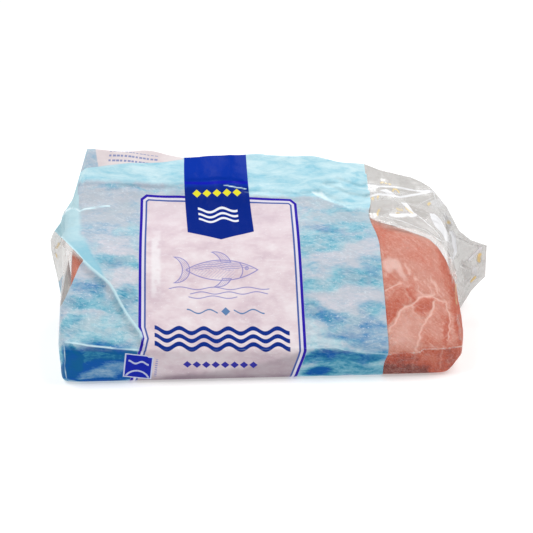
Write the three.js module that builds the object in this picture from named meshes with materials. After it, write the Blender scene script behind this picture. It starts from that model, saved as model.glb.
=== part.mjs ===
import * as THREE from 'three';

// A frozen tuna loin, vacuum-packed in a film bag and lying on its flat side.
// Millimetres, +Z up. X runs along the loin and Y away from its sloping front face.
// The film clings to the loin. Its spare film stands up behind the loin as a fin,
// and runs past both ends as a thin upright sheet.

// The bag along X
const LEFT_TIP = -171;
const RIGHT_TIP = 180;
const LOIN_LEFT = -159;
const LOIN_RIGHT = 149;

// The loin's section, as it shows under the film
const FOOT_Y = -4;
const FOOT_SKEW = -0.012;
const LIP_OVERHANG = 2.6;
const LIP_HEIGHT = 27.3;
const LIP_SLOPE = -0.022;
const LIP_BOW = 0.00015;
const KNEE_Y = 63;
const KNEE_HEIGHT = 80;
const RIDGE_Y = 101;
const RIDGE_HEIGHT = 89;
const BACK_ROOT_Y = 108;
const BACK_ROOT_HEIGHT = 85;
const SHOULDER_Y = 121;
const SHOULDER_HEIGHT = 76;
const HEEL_Y = 117;
const FOOT_RADIUS = 5;
const LIP_RADIUS = 8;
const KNEE_RADIUS = 34;
const ROOT_RADIUS = 12;
const BACK_ROOT_RADIUS = 8;
const SHOULDER_RADIUS = 22;
const HEEL_RADIUS = 12;
const LARGEST_SHARE = 0.46;

// How each end of the loin closes: a blunt left end, a right end whose ridge falls away
const LEFT_CLOSE = 41;
const RIGHT_CLOSE = 89;
const LEFT_BLUNTNESS = [5, 9];
const RIGHT_BLUNTNESS = [2.7, 8];
const BLUNTNESS_FADE = 1.2;
const RIGHT_SLANT = 1.5;
const SLANT_HEIGHTS = [20, 60];
const UNDERCUT = 11;
const UNDERCUT_START = 131;
const UNDERCUT_END = 148;
const UNDERCUT_LIP_SHARE = 0.15;

// Two layers of film pressed together: the way from the front one to the back one
const FILM_PAIR = 1.6;
const FIN_BACK = new THREE.Vector2(0.8, -0.6).multiplyScalar(FILM_PAIR);
const SHEET_BACK = new THREE.Vector2(0.8, -0.2).multiplyScalar(FILM_PAIR);

// Waves along X, each as [height, length, phase]
const FIN_WAVES = [[2.6, 15.5, 0.6], [1.7, 6.9, 2]];
const KNEE_WAVES = [[1.2, 31, 0]];
const RIDGE_WAVES = [[1, 23, 1]];

// Swells of the film over the loin, each as [height, length along X, points round the section, phase]
const SWELLS = [[0.8, 12.5, 2.9, 0], [0.5, 7.1, -1.7, 2]];
const RELIEF_HEIGHTS = [2, 22];
const RELIEF_FADE = [4, 9];

// Upper edge of the spare film, from left to right: the fin and both end sheets
const FIN_EDGE = [
  [-171, 99, 67.5], [-168.5, 101, 73.5], [-162.5, 107, 79], [-161, 109, 84.5], [-153, 119, 94],
  [-146.5, 131, 112], [-141, 143, 127], [-98, 143, 123], [-65, 142, 117.8], [-52, 142, 117.6],
  [-38, 142, 119.9], [-27, 142, 121], [-12, 142, 119], [4, 142, 116.4], [30, 142, 116],
  [55, 141, 114.2], [71, 140, 111.7], [83, 139, 109], [96, 138, 104.2], [112, 136, 99.4],
  [122, 135, 97.2], [130, 134, 94], [137, 132, 90], [143, 130, 83.5], [150, 124, 76],
  [160, 113, 59.4], [168, 106, 54.4], [180, 98, 53.5],
].map((point) => new THREE.Vector3(...point));

// Lower edge of the end sheets, from left to right
const SHEET_EDGE = [
  [-171, 97, 60], [-167.5, 90, 40], [-162, 72, 16], [-157, 40, 4], [-150, 40, 2], [120, 60, 2],
  [140, 58, 8], [149, 62, 11], [158, 74, 9], [163, 80, 13], [168, 86, 17.5], [180, 92, 27.5],
].map((point) => new THREE.Vector3(...point));

// The fold of the wrapped left end, a raised crease that runs down across the front face
const FOLD_TOP_X = -168;
const FOLD_FOOT_X = -97;
const FOLD_RISE = 3.2;
const FOLD_DROP = 1.8;
const FOLD_SHOULDER = 15;
const FOLD_STEP = 7;
const FOLD_HOLLOW = 34;
const FOLD_LEAN = 0.84;

// Points round a section: each corner as [points on its arc, points on the edge after it]
const SPLITS = {
  tip: [1, 6], ridge: [4, 5], knee: [6, 6], lip: [4, 3], foot: [4, 6],
  heel: [4, 5], shoulder: [5, 3], backRoot: [4, 5], backTip: [1, 0],
};
const FOLD_FIRST = 8;
const FOLD_LAST = 29;

// Stretches of X with their number of steps, finer where the form turns quickly
const STRETCHES = [[-157, 7], [-140, 5], [-95, 8], [100, 18], [130, 5], [152, 8], [RIGHT_TIP, 9]];

// Point of a line of points at x, as (y, z)
function along(points, x) {
  const after = points.findIndex((point, i) => i > 0 && point.x >= x);
  const a = points[after - 1];
  const b = points[after];
  const t = (x - a.x) / (b.x - a.x);
  return new THREE.Vector2(THREE.MathUtils.lerp(a.y, b.y, t), THREE.MathUtils.lerp(a.z, b.z, t));
}

// Sum of waves at x
function waves(list, x) {
  return list.reduce((sum, [height, length, phase]) => sum + height * Math.sin(x / length + phase), 0);
}

// Corners of the section at x: from the fin down the front, under the loin and up the back
function corners(x) {
  const undercut = UNDERCUT * THREE.MathUtils.smoothstep(x, UNDERCUT_START, UNDERCUT_END);
  const foot = FOOT_Y + FOOT_SKEW * x;
  const lip = LIP_HEIGHT + LIP_SLOPE * x + LIP_BOW * x * x + UNDERCUT_LIP_SHARE * undercut;
  const tip = along(FIN_EDGE, x);
  tip.x += waves(FIN_WAVES, x);
  const backTip = tip.clone().add(FIN_BACK);
  const knee = KNEE_HEIGHT + waves(KNEE_WAVES, x);
  const ridge = RIDGE_HEIGHT + waves(RIDGE_WAVES, x);
  const corner = (name, y, z, radius) => ({ at: new THREE.Vector2(y, z), radius, split: SPLITS[name] });
  return [
    corner('tip', tip.x, tip.y, 0),
    corner('ridge', RIDGE_Y, ridge, ROOT_RADIUS),
    corner('knee', KNEE_Y, knee, KNEE_RADIUS),
    corner('lip', foot - LIP_OVERHANG, lip, LIP_RADIUS),
    corner('foot', foot, undercut, FOOT_RADIUS),
    corner('heel', HEEL_Y, undercut, HEEL_RADIUS),
    corner('shoulder', SHOULDER_Y, SHOULDER_HEIGHT, SHOULDER_RADIUS),
    corner('backRoot', BACK_ROOT_Y, BACK_ROOT_HEIGHT, BACK_ROOT_RADIUS),
    corner('backTip', backTip.x, backTip.y, 0),
  ];
}

// Point on the way from one corner to another, at most a radius or just under half way along
function towards(from, to, radius) {
  const way = to.clone().sub(from);
  const length = way.length();
  return way.multiplyScalar(Math.min(radius, LARGEST_SHARE * length) / length).add(from);
}

// The section at x as points: rounded corners joined by straight edges
function section(x) {
  const ring = corners(x);
  const points = [];
  ring.forEach((corner, i) => {
    const before = ring[i - 1];
    const after = ring[i + 1];
    const [arcPoints, edgePoints] = corner.split;
    if (arcPoints > 1) {
      const start = towards(corner.at, before.at, corner.radius);
      const end = towards(corner.at, after.at, corner.radius);
      points.push(...new THREE.QuadraticBezierCurve(start, corner.at, end).getPoints(arcPoints - 1));
    } else {
      points.push(corner.at.clone());
    }
    if (after) {
      const edge = new THREE.LineCurve(points.at(-1), towards(after.at, corner.at, after.radius));
      points.push(...edge.getPoints(edgePoints + 1).slice(1, -1));
    }
  });
  return points;
}

// The end sheet at x, with as many points as a section: down its front and up its back
function sheet(x, count) {
  const top = along(FIN_EDGE, x);
  const bottom = along(SHEET_EDGE, x);
  const half = count / 2;
  return Array.from({ length: count }, (_, i) => {
    const down = i < half ? i / (half - 1) : (count - 1 - i) / (half - 1);
    const point = top.clone().lerp(bottom, down);
    return i < half ? point : point.add(SHEET_BACK);
  });
}

// How far a point of the section has closed on the end sheet, from 0 to 1
function closing(t, [bluntness, extra], height) {
  const depth = 1 - THREE.MathUtils.clamp(height / RIDGE_HEIGHT, 0, 1);
  const power = bluntness + extra * depth ** BLUNTNESS_FADE;
  return 1 - (1 - THREE.MathUtils.clamp(t, 0, 1) ** power) ** (1 / power);
}

// Height of the folds over the smooth form, at point i of the section at x
function relief(x, i, height) {
  const above = THREE.MathUtils.smoothstep(height, ...RELIEF_HEIGHTS);
  const swell = SWELLS.reduce((sum, [rise, length, points, phase]) => (
    sum + rise * Math.sin(x / length + i / points + phase)), 0);
  const foldX = THREE.MathUtils.mapLinear(i, FOLD_FIRST, FOLD_LAST, FOLD_TOP_X, FOLD_FOOT_X);
  const inFold = i >= FOLD_FIRST && i <= FOLD_LAST && x > LOIN_LEFT;
  const off = FOLD_LEAN * (x - foldX);
  const crest = FOLD_RISE * Math.max(0, 1 - Math.abs(off) / (off > 0 ? FOLD_SHOULDER : FOLD_STEP));
  const hollow = off < -FOLD_STEP ? -FOLD_DROP * Math.max(0, 1 + (off + FOLD_STEP) / FOLD_HOLLOW) : 0;
  return above * (swell + (inFold ? crest + hollow : 0));
}

// The whole outline of the bag at x, as points in space
function outline(x) {
  const ring = section(x);
  const flat = sheet(x, ring.length);
  const closed = ring.map((point, i) => {
    const slant = RIGHT_SLANT * (1 - THREE.MathUtils.smoothstep(point.y, ...SLANT_HEIGHTS));
    const right = closing((x + slant - LOIN_RIGHT + RIGHT_CLOSE) / RIGHT_CLOSE, RIGHT_BLUNTNESS, point.y);
    const left = closing((LOIN_LEFT + LEFT_CLOSE - x) / LEFT_CLOSE, LEFT_BLUNTNESS, point.y);
    return { point: point.lerp(flat[i], right + left), body: 1 - right - left };
  });
  return closed.map(({ point, body }, i) => {
    const before = closed[Math.max(i - 1, 0)].point;
    const after = closed[Math.min(i + 1, closed.length - 1)].point;
    const way = after.clone().sub(before).normalize();
    const fade = THREE.MathUtils.smoothstep(Math.min(i, ring.length - 1 - i), ...RELIEF_FADE);
    const fold = body * relief(x, i, point.y) * fade;
    return new THREE.Vector3(x, point.x - way.y * fold, point.y + way.x * fold);
  });
}

// X of every outline, from the left tip to the right tip
function stations() {
  const list = [LEFT_TIP];
  for (const [end, steps] of STRETCHES) {
    const start = list.at(-1);
    for (let i = 1; i <= steps; i += 1) {
      list.push(start + ((end - start) * i) / steps);
    }
  }
  return list;
}

// A closed skin over the outlines: bands between neighbours, and a strip across each end
function skin(outlines) {
  const count = outlines[0].length;
  const faces = [];
  for (let k = 0; k + 1 < outlines.length; k += 1) {
    for (let i = 0; i < count; i += 1) {
      const a = k * count + i;
      const b = k * count + ((i + 1) % count);
      faces.push(a, b, a + count, b, b + count, a + count);
    }
  }
  const last = (outlines.length - 1) * count;
  for (let i = 0; i + 1 < count / 2; i += 1) {
    const j = count - 1 - i;
    faces.push(i, j, i + 1, i + 1, j, j - 1);
    faces.push(last + i, last + i + 1, last + j, last + i + 1, last + j - 1, last + j);
  }
  const geometry = new THREE.BufferGeometry().setFromPoints(outlines.flat());
  geometry.setIndex(faces);
  return geometry;
}

// The bag stands on z = 0 with its box centred on the origin
function filmBag() {
  const geometry = skin(stations().map(outline));
  geometry.computeBoundingBox();
  const centre = geometry.boundingBox.getCenter(new THREE.Vector3());
  geometry.translate(-centre.x, -centre.y, -geometry.boundingBox.min.z);
  geometry.computeVertexNormals();
  const material = new THREE.MeshStandardMaterial({ color: 0xb9d3e2, roughness: 0.3, metalness: 0 });
  const mesh = new THREE.Mesh(geometry, material);
  mesh.name = 'film_bag';
  return mesh;
}

const pack = new THREE.Group();
pack.add(filmBag());

export default pack;
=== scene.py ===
import math

import bpy
import numpy as np
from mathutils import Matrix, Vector
from mathutils.bvhtree import BVHTree


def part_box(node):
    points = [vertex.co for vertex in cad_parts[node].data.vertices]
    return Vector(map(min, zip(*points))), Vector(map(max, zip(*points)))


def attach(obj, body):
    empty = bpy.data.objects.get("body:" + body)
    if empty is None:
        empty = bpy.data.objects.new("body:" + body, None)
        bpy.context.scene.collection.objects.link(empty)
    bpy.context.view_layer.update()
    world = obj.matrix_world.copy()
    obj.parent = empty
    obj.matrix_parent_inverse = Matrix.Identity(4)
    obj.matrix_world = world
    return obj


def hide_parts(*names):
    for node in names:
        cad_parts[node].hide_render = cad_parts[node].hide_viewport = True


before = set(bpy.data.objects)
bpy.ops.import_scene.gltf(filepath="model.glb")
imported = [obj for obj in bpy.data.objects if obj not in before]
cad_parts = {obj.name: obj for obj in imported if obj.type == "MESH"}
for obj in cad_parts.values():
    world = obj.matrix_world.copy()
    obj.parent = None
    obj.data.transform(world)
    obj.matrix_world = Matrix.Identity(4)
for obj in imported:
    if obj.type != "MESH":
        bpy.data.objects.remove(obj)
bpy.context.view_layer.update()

# The film bag: a tube of thin film drawn tight round the loin by vacuum and sealed. Its spare
# film stands up behind as a fin of two layers and runs past both ends as a crumpled sheet.
# It is shaped whole here and parted into its printed and its clear film further down.
# Lengths are in millimetres: x runs along the pack, y from the front to the back, z up.
MM = 0.001
BAG_ENDS = (-171.0, 180.0)
BAG_FRONT = -7.59
FILM_ENDS = (-159.0, 149.0)
DENSE_RUNS = (9, 6)
PRINT_EDGE = 84.8
FILM_PAIR = 0.9
FIN_BACK, SHEET_BACK = np.array([0.8, -0.6]), np.array([0.8, -0.2])
RIDGE_HEIGHT = 89.0
LEFT_CLOSE, RIGHT_CLOSE = 41.0, 89.0
LEFT_BLUNTNESS, RIGHT_BLUNTNESS = (5, 9), (2.7, 8)
RIGHT_SLANT, SLANT_HEIGHTS = 1.5, (60, 20)
FOOT_Y, FOOT_SKEW, LIP_OVERHANG = -4, -0.012, 2.6
LIP_HEIGHT, LIP_SLOPE, LIP_BOW = 27.3, -0.022, 0.00015
UNDERCUT, UNDERCUT_RUN, UNDERCUT_LIP_SHARE = 11, (131, 148), 0.15
# How far down the flat end sheets the marks on the section come to lie
SHEET_SHARES = [0, 0.263, 0.5, 0.703, 1, 1, 0.814, 0]
# Sine and cosine of the camera's thirty degrees above the table
VIEW_SINE, VIEW_COSINE = 0.5, 0.866
# Waves along x, each as height, length and phase
FIN_WAVES = [(2.6, 15.5, 0.6), (1.7, 6.9, 2)]
KNEE_WAVES, RIDGE_WAVES = [(1.2, 31, 0)], [(1, 23, 1)]
# The section's corners as y and z, the radii that round them, and the number of points round
# each corner and along the edge after it
BODY = {"ridge": (101, RIDGE_HEIGHT), "knee": (63, 80), "heel": (117, 0), "shoulder": (121, 76),
        "back_root": (108, 85)}
RADII = {"ridge": 12, "knee": 34, "lip": 8, "foot": 5, "heel": 12, "shoulder": 22, "back_root": 8}
BAG_SPLITS = {"tip": (1, 30), "ridge": (14, 14), "knee": (44, 40), "lip": (20, 18), "foot": (10, 20),
              "heel": (8, 16), "shoulder": (10, 6), "back_root": (8, 18), "back_tip": (1, 0)}
# The top edge of the fin and the lower edge of the end sheets, as x, y and z
FIN_EDGE = [
    (-171, 99, 67.5), (-168.5, 101, 73.5), (-162.5, 107, 79), (-161, 109, 84.5), (-153, 119, 94),
    (-146.5, 131, 112), (-141, 143, 127), (-98, 143, 123), (-65, 142, 117.8), (-52, 142, 117.6),
    (-38, 142, 119.9), (-27, 142, 121), (-12, 142, 119), (4, 142, 116.4), (30, 142, 116),
    (55, 141, 114.2), (71, 140, 111.7), (83, 139, 109), (96, 138, 104.2), (112, 136, 99.4),
    (122, 135, 97.2), (130, 134, 94), (137, 132, 90), (143, 130, 83.5), (150, 124, 76),
    (160, 113, 59.4), (168, 106, 54.4), (180, 98, 53.5),
]
SHEET_EDGE = [
    (-171, 97, 60), (-167.5, 90, 40), (-162, 72, 16), (-157, 40, 4), (-150, 40, 2), (120, 60, 2),
    (140, 58, 8), (149, 62, 11), (158, 74, 9), (163, 80, 13), (168, 86, 17.5), (180, 92, 27.5),
]


def ease(start, end, value):
    t = np.clip((value - start) / (end - start), 0, 1)
    return t * t * (3 - 2 * t)


def along(line, x):
    line = np.array(line, float)
    return np.stack([np.interp(x, line[:, 0], line[:, k]) for k in (1, 2)], -1)


def waves(rows, x):
    return sum(height * np.sin(x / length + phase) for height, length, phase in rows)


def body_corners(x):
    undercut = UNDERCUT * ease(*UNDERCUT_RUN, x)
    foot = FOOT_Y + FOOT_SKEW * x
    lip = LIP_HEIGHT + LIP_SLOPE * x + LIP_BOW * x * x + UNDERCUT_LIP_SHARE * undercut
    still = np.zeros_like(x)
    at = {name: np.stack([still + y, still + z], -1) for name, (y, z) in BODY.items()}
    at["ridge"][:, 1] += waves(RIDGE_WAVES, x)
    at["knee"][:, 1] += waves(KNEE_WAVES, x)
    at["heel"][:, 1] += undercut
    at["lip"] = np.stack([foot - LIP_OVERHANG, lip], -1)
    at["foot"] = np.stack([foot, undercut], -1)
    return at


def towards(start, end, radius):
    way = end - start
    length = np.linalg.norm(way, axis=-1, keepdims=True)
    return start + way * np.minimum(radius, 0.46 * length) / length


def section(at, splits, closed):
    names = list(splits)
    points = []
    for k, name in enumerate(names):
        arc, edge = splits[name]
        here = at[name]
        after = at[names[(k + 1) % len(names)]]
        if arc > 1:
            start = towards(here, at[names[k - 1]], RADII[name])
            end = towards(here, after, RADII[name])
            for t in np.linspace(0, 1, arc):
                points.append((1 - t) ** 2 * start + 2 * t * (1 - t) * here + t * t * end)
        else:
            points.append(here)
        if edge and (closed or k + 1 < len(names)):
            start = points[-1]
            end = towards(after, here, RADII.get(names[(k + 1) % len(names)], 0))
            points += [start + (end - start) * t for t in np.linspace(0, 1, edge + 2)[1:-1]]
    return np.stack(points, 1)


def first_columns(splits):
    counts = [sum(split) for split in splits.values()]
    return {name: sum(counts[:k]) for k, name in enumerate(splits)}


def lip_middle(splits):
    return first_columns(splits)["lip"] + splits["lip"][0] // 2


def closing(t, bluntness, height):
    power = bluntness[0] + bluntness[1] * (1 - np.clip(height / RIDGE_HEIGHT, 0, 1)) ** 1.2
    return 1 - (1 - np.clip(t, 0, 1)[:, None] ** power) ** (1 / power)


def seen_from_front(points):
    return points[..., 0], points[..., 1] * VIEW_SINE + points[..., 2] * VIEW_COSINE


def distance(a, b, line):
    nearest = np.full(a.shape, 1e9)
    side = np.zeros(a.shape)
    for (a0, b0), (a1, b1) in zip(line, line[1:]):
        da, db = a1 - a0, b1 - b0
        t = np.clip(((a - a0) * da + (b - b0) * db) / (da * da + db * db), 0, 1)
        away = np.hypot(a - a0 - t * da, b - b0 - t * db)
        closer = away < nearest
        nearest = np.where(closer, away, nearest)
        side = np.where(closer, np.sign((a - a0) * db - (b - b0) * da), side)
    return nearest, side


def inside(a, b, corners, soft):
    ring = corners + corners[:1]
    crossings = np.zeros(a.shape, int)
    for (a0, b0), (a1, b1) in zip(ring, ring[1:]):
        if b0 != b1:
            crossings += ((b0 > b) != (b1 > b)) & (a < a0 + (b - b0) * (a1 - a0) / (b1 - b0))
    away, _ = distance(a, b, ring)
    return ease(-soft, soft, np.where(crossings % 2 == 1, away, -away))


def paint(field, a, b, spots):
    for ca, cb, ra, rb, value in spots:
        weight = ease(1.4, 0.55, np.hypot((a - ca) / ra, (b - cb) / rb))
        field = field * (1 - weight) + value * weight
    return field


def wobbled(a, b):
    return (a + 3 * np.sin(b / 7 + a / 23) + 1.5 * np.sin(b / 2.9 - a / 11),
            b + 1.6 * np.sin(a / 9 + b / 13) + 0.8 * np.sin(a / 3.7 + 2))


def film_map(points, zero_column):
    steps = np.linalg.norm(np.diff(points[..., 1:], axis=1), axis=-1)
    arc = np.concatenate([np.zeros((len(points), 1)), np.cumsum(steps, 1)], 1)
    runs = np.linalg.norm(np.diff(points, axis=0), axis=-1)
    run = np.concatenate([np.zeros((1, points.shape[1])), np.cumsum(runs, 0)], 0)
    middle = np.argmin(np.abs(points[:, 0, 0]))
    return run - run[middle] + points[middle, 0, 0], arc[:, zero_column:zero_column + 1] - arc


def normals(points, on_top):
    normal = np.cross(np.gradient(points, axis=0), np.gradient(points, axis=1))
    normal /= np.maximum(np.linalg.norm(normal, axis=-1, keepdims=True), 1e-9)
    return normal * np.sign(normal[on_top][2])


def facets(a, b, seed, count, shortest, longest):
    draw = np.random.default_rng(seed)
    total = np.zeros(a.shape)
    for length in np.geomspace(shortest, longest, count):
        angle, phase = draw.uniform(0, np.pi), draw.uniform(0, 2)
        wave = ((a * np.cos(angle) + b * np.sin(angle)) / length + phase) % 2
        total += length / longest * (2 * np.abs(wave - 1) - 1)
    return total


def mode(name):
    bpy.ops.object.mode_set(mode=name)


def wrap(grid):
    return np.concatenate([grid, grid[:, :1]], 1)


def sheet_mesh(name, points, u, v, values):
    bpy.ops.object.select_all(action="DESELECT")
    rows, columns = points.shape[:2]
    bpy.ops.mesh.primitive_grid_add(x_subdivisions=columns - 1, y_subdivisions=rows - 1, calc_uvs=True)
    piece = bpy.context.object
    piece.name = name
    mesh = piece.data
    mesh.vertices.foreach_set("co", ((points + shift) * MM).reshape(-1))
    corner = np.empty(len(mesh.loops), np.int32)
    mesh.loops.foreach_get("vertex_index", corner)
    flat = np.stack([u, v], -1).reshape(-1, 2) * MM
    mesh.uv_layers.active.name = "film_map"
    mesh.uv_layers.active.data.foreach_set("uv", flat[corner].astype(np.float32).reshape(-1))
    for label, value in values.items():
        mesh.attributes.new(label, "FLOAT", "POINT").data.foreach_set("value", value.reshape(-1))
    mode("EDIT")
    bpy.ops.mesh.select_all(action="SELECT")
    bpy.ops.mesh.remove_doubles(threshold=1e-6)
    bpy.ops.mesh.dissolve_degenerate(threshold=1e-7)
    bpy.ops.mesh.normals_make_consistent(inside=False)
    mode("OBJECT")
    bpy.ops.object.shade_smooth()
    return piece


bag_low, bag_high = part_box("film_bag")
shift = np.array([bag_low.x / MM - BAG_ENDS[0], bag_low.y / MM - BAG_FRONT, 0.0])
BAG_FIRST = first_columns(BAG_SPLITS)
bag_x = np.concatenate([
    np.linspace(BAG_ENDS[0], FILM_ENDS[0], 13),
    FILM_ENDS[0] + DENSE_RUNS[0] * np.linspace(0, 1, 31)[1:] ** 5,
    np.linspace(FILM_ENDS[0] + DENSE_RUNS[0], PRINT_EDGE, 233)[1:],
    np.linspace(PRINT_EDGE, FILM_ENDS[1] - DENSE_RUNS[1], 97)[1:],
    FILM_ENDS[1] - DENSE_RUNS[1] * np.linspace(1, 0, 39)[1:] ** 5,
    np.linspace(FILM_ENDS[1], BAG_ENDS[1], 45)[1:],
])
tip = along(FIN_EDGE, bag_x)
tip[:, 0] += waves(FIN_WAVES, bag_x)
bag_at = {"tip": tip, **body_corners(bag_x), "back_tip": tip + FIN_BACK * FILM_PAIR}
bag_ring = section(bag_at, BAG_SPLITS, closed=False)
columns = bag_ring.shape[1]
half = BAG_FIRST["lip"] + 3
marks = [0, BAG_FIRST["ridge"], BAG_FIRST["knee"], BAG_FIRST["knee"] + BAG_SPLITS["knee"][0],
         half - 1, half, BAG_FIRST["foot"], columns - 1]
down = np.interp(np.arange(columns), marks, SHEET_SHARES)
top, bottom = along(FIN_EDGE, bag_x), along(SHEET_EDGE, bag_x)
end_sheet = top[:, None] * (1 - down)[None, :, None] + bottom[:, None] * down[None, :, None]
apart = FILM_PAIR * ease(0, 6, np.minimum(bag_x - BAG_ENDS[0], BAG_ENDS[1] - bag_x))[:, None, None]
end_sheet[:, half:] += SHEET_BACK * apart
right = closing((bag_x - FILM_ENDS[1] + RIGHT_CLOSE) / RIGHT_CLOSE, RIGHT_BLUNTNESS, bag_ring[..., 1])
left = closing((FILM_ENDS[0] + LEFT_CLOSE - bag_x) / LEFT_CLOSE, LEFT_BLUNTNESS, bag_ring[..., 1])
flat_share = left + right
bag_ring = bag_ring * (1 - flat_share[..., None]) + end_sheet * flat_share[..., None]
slant = RIGHT_SLANT * ease(*SLANT_HEIGHTS, bag_ring[..., 1])
slant *= (ease(100, FILM_ENDS[1], bag_x) * ease(BAG_ENDS[1], FILM_ENDS[1], bag_x))[:, None]
bag_points = np.concatenate([(bag_x[:, None] - slant)[..., None], bag_ring], -1)
bag_u, bag_v = film_map(bag_points, lip_middle(BAG_SPLITS))
across, up = seen_from_front(bag_points)
bag_out = normals(bag_points, (150, 60))

# Its folds: the crumple of the loose fin and ends, the diagonal crease of the wrapped left end,
# the sharp lip along the foot of the front, and creases where the film bridges hollows. Creases
# of the printed part are drawn on the film's own map, those of the fin and the clear ends as
# seen from the front. Each is a line with its height, its width and how white it shines: the
# white is stress whitening along the crease and a painted highlight on its crest.
FOLD = [(-168, 114.5), (-164, 109), (-152, 99.5), (-143, 91.8), (-134.8, 84), (-127.8, 78.3),
        (-123.7, 75), (-119.7, 70.8), (-116.5, 65.5), (-112.6, 58), (-107.6, 49.4), (-104.3, 44.6),
        (-100.5, 39.8), (-97.3, 35.4), (-96.3, 32)]
FLAP_EDGE = [(-147, 133), (-145, 111), (-141, 108), (-138, 103), (-133.8, 94), (-127.8, 85),
             (-125.5, 79), (-123.7, 74)]
FOLD_RIDGE, FOLD_HOLLOW, FOLD_REACH = 3.2, 1.8, 20
PRINT_CREASES = [
    ([(-152, 4.4), (-144, 3.8), (-136, 2.6), (-123, 1.6), (-112, 0.6), (-99, 0.2)], 1.2, 3, 0.8),
    ([(-33, 147), (-25, 145.2), (-15, 144)], 0.5, 2.4, 0.9),
    ([(-99, 1), (-40, 1), (25, 2)], 0.7, 2.6, 0.4),
    ([(25, 2), (46, 2.6), (54, 0), (87, -3.8)], 0.8, 2.8, 0.6),
    ([(-152.6, 2), (-153.4, -12), (-153.6, -27)], 0.9, 2.2, 0.75),
    ([(-62, 151), (-40, 152), (-18, 150)], 0.8, 2.6, 0.3),
    ([(-112, 144), (-84, 145.6), (-66, 146.5)], 0.8, 2.6, 0.15),
    ([(-132, 139), (-116, 141)], 0.7, 2.6, 0.5),
    ([(-16, 141), (8, 141), (28, 139), (43, 142)], 1, 3, 0.5),
    ([(43, 142), (56, 134), (67, 126.5)], 1.3, 3, 0.75),
    ([(50, 149), (62, 149)], 1, 2.4, 0.9),
    ([(50, 149), (62, 142), (69, 139), (85, 138)], 0.9, 2.6, 0.4),
    ([(60, 153), (74, 148), (85, 147)], 0.9, 2.6, 0.25),
    ([(57, 123), (68, 117), (82, 114)], 0.8, 2.4, 0.1),
    ([(-141, 17), (-139, 24)], 0.4, 2, 0.6),
    ([(-120, 24), (-119, 15)], 0.5, 2, 0.4),
]
FRONT_CREASES = [
    ([(-162, 127), (-158, 131), (-154, 133.5), (-149, 133), (-146, 130.5), (-137, 132), (-123, 133)],
     1.2, 3.4, 1),
    ([(83, 147), (98, 145), (110, 144), (125, 142), (139, 141)], 1.3, 2.4, 0.9),
    ([(82, 137), (92, 139), (109, 136), (125, 139), (139, 141)], 1.5, 2.8, 1),
    ([(83, 143), (93, 145)], 0.8, 1.6, 0.9),
    ([(112, 130), (119, 120), (99, 120)], 1.2, 1.6, 1),
    ([(112, 130), (99, 125), (84, 126)], 0.7, 1.6, 0.3),
    ([(119, 120), (132, 108), (140, 97), (144, 84)], 1.2, 2.2, 0.5),
    ([(139, 141), (141, 128), (153, 112)], 1, 2.4, 0.5),
    ([(126, 131), (139, 136)], 0.7, 1.8, 0.5),
    ([(120, 125), (130, 121), (143, 121)], 0.8, 1.6, 0.4),
    ([(155, 104), (156, 92), (150, 80)], 1, 2.4, 0.8),
    ([(167, 84), (172, 89), (176, 94)], 1, 2.6, 1),
    ([(158, 103), (168, 97), (177, 93)], 0.8, 1.6, 0.4),
    ([(160, 80), (168, 76), (177, 83)], 0.8, 1.6, 0.3),
    ([(147, 76), (154, 70), (160, 62)], 0.8, 1.6, 0.4),
    ([(84, 16.5), (104, 16)], 0.7, 1.5, 0.5),
    ([(104, 16), (109, 16), (112, 18.5), (128, 18.5), (142, 19.5)], 0.8, 1.8, 0.85),
    ([(84, 123), (105, 116), (125, 108), (138, 98)], 0.3, 1.5, 0.5),
    ([(86, 118), (97, 113), (105, 111), (116, 107)], 0.6, 1.8, 0.5),
    ([(118, 120), (128, 113), (136, 103)], 0.5, 1.4, 0.4),
    ([(141, 60), (145, 66), (146, 50), (142, 40)], 0.6, 1.4, 0.4),
]
from_front = bag_v[:, :1] - bag_v
from_back = bag_v - bag_v[:, -1:]
from_tip = np.minimum(from_front, from_back)
column = np.arange(columns)[None, :] + 0 * from_tip
fore = np.where(column < BAG_FIRST["foot"] + 11, 1.0, 0.0)
in_fin = np.where(column < BAG_FIRST["ridge"] + BAG_SPLITS["ridge"][0], ease(52, 34, from_tip),
                  np.where(column > BAG_FIRST["shoulder"] + 8, ease(48, 32, from_tip), 0.0))
loose = np.clip(in_fin * (1 - flat_share) + flat_share ** 2, 0, 1)
rise = tip - np.where((bag_x > 60)[:, None], bottom, np.array(BODY["ridge"]))
rise /= np.linalg.norm(rise, axis=-1, keepdims=True)
lean = np.stack([np.zeros_like(bag_x), -rise[:, 1], rise[:, 0]], -1)[:, None]
clear_share = ease(70, 100, across)
flap = facets(across, from_tip, 5, 6, 9, 34) * (0.55 + 0.5 * clear_share)
flap += (0.35 + 0.6 * clear_share) * np.sin(across / 5.3 + from_tip / 19)
flap *= ease(0, 5, np.minimum(across - BAG_ENDS[0], BAG_ENDS[1] - across))
tight = facets(bag_u, bag_v, 11, 7, 5, 30) * (0.16 + 0.22 * ease(96, 118, bag_v) + 0.12 * clear_share)
crest = np.zeros(bag_u.shape)
for creases, a, b in ((PRINT_CREASES, bag_u, bag_v), (FRONT_CREASES, across, up)):
    for line, lift, width, white in creases:
        away, side = distance(a, b, line)
        peak = np.maximum(0, 1 - away / (width * np.where(side > 0, 1.5, 0.8)))
        tight += lift * peak * fore
        flap -= lift * peak * loose * (column < half)
        crest = np.maximum(crest, white * ease(width * 0.55, 0, away) * np.maximum(fore, flat_share ** 4))
away, side = distance(across, up, FOLD)
fold = away * np.where(side > 0, -1.0, 1.0)
ridge = FOLD_RIDGE * np.maximum(0, 1 - away / np.where(fold > 0, 15, 2.4))
hollow = np.where(fold < 0, FOLD_HOLLOW * np.minimum(away / 4, 1) * np.maximum(0, 1 - away / 38), 0)
tight += (ridge - hollow) * fore * ease(-30, -8, bag_v)
fold = np.where(fore > 0, np.clip(fold, -FOLD_REACH, FOLD_REACH), FOLD_REACH)
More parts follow.
